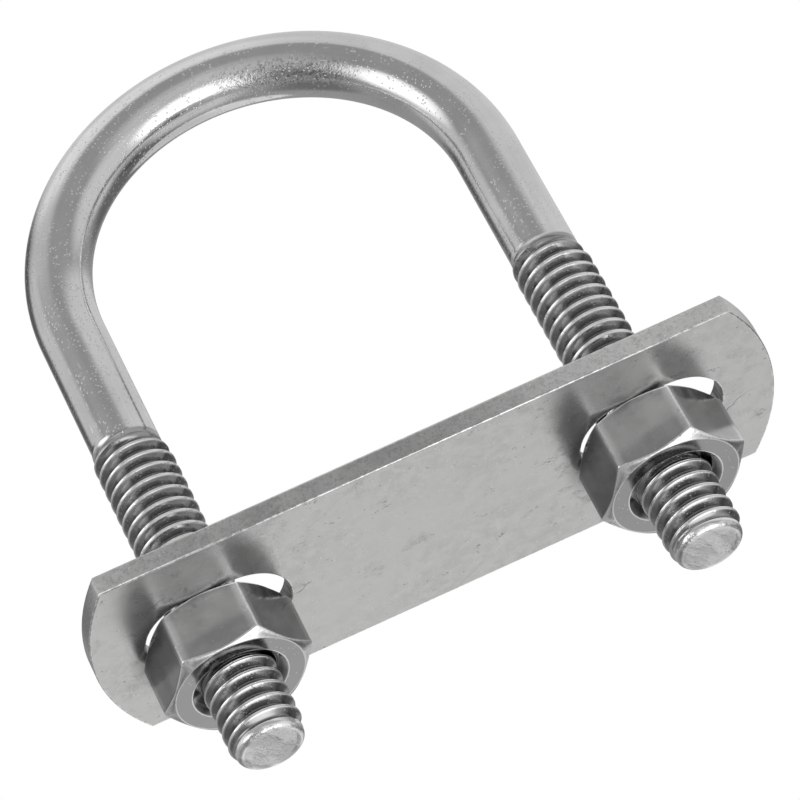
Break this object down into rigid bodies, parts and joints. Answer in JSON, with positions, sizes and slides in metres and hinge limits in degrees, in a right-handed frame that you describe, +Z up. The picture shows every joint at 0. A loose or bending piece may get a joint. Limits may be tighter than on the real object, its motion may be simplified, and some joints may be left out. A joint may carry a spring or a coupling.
{
  "type": "u-bolt pad eye",
  "caption": "Round-bow U-bolt pad eye: a threaded rod bent into an open eye, with a slotted clamp plate and hex nuts on its legs.",
  "frame": {"origin": "midway between the two legs, on the clamp plate's upper face", "axes": "+Z up the legs towards the bow, +X along the plate from the left leg to the right leg, +Y across the plate"},
  "size_m": [0.0584, 0.0202, 0.0652],
  "materials": {
    "rod_steel": "bright drawn steel with small pits and drawing marks",
    "plate_steel": "satin rolled steel with fine scratches and smudges",
    "nut_steel": "bright machined steel with worn edges"
  },
  "bodies": {
    "u_bolt": {"u_bolt": "rod_steel"},
    "plate": {"plate": "plate_steel"},
    "nut_left": {"nut_left": "nut_steel"},
    "nut_right": {"nut_right": "nut_steel"}
  },
  "joints": [
    {"name": "plate_slide", "type": "slide", "parent": "u_bolt", "child": "plate", "axis": [0, 0, 1], "range_m": [-0.00635, 0.01778]},
    {"name": "nut_left_turn", "type": "hinge", "parent": "plate", "child": "nut_left", "pos_m": [-0.01868, 0, -0.00458], "axis": [0, 0, 1], "range_deg": [-1801, 5041]},
    {"name": "nut_right_turn", "type": "hinge", "parent": "plate", "child": "nut_right", "pos_m": [0.01868, 0, -0.00458], "axis": [0, 0, 1], "range_deg": [-1801, 5041]}
  ],
  "couplings": [
    {"joint": "nut_left_turn", "follows": "plate_slide", "rad_per_m": 4947.4},
    {"joint": "nut_right_turn", "follows": "plate_slide", "rad_per_m": 4947.4}
  ]
}
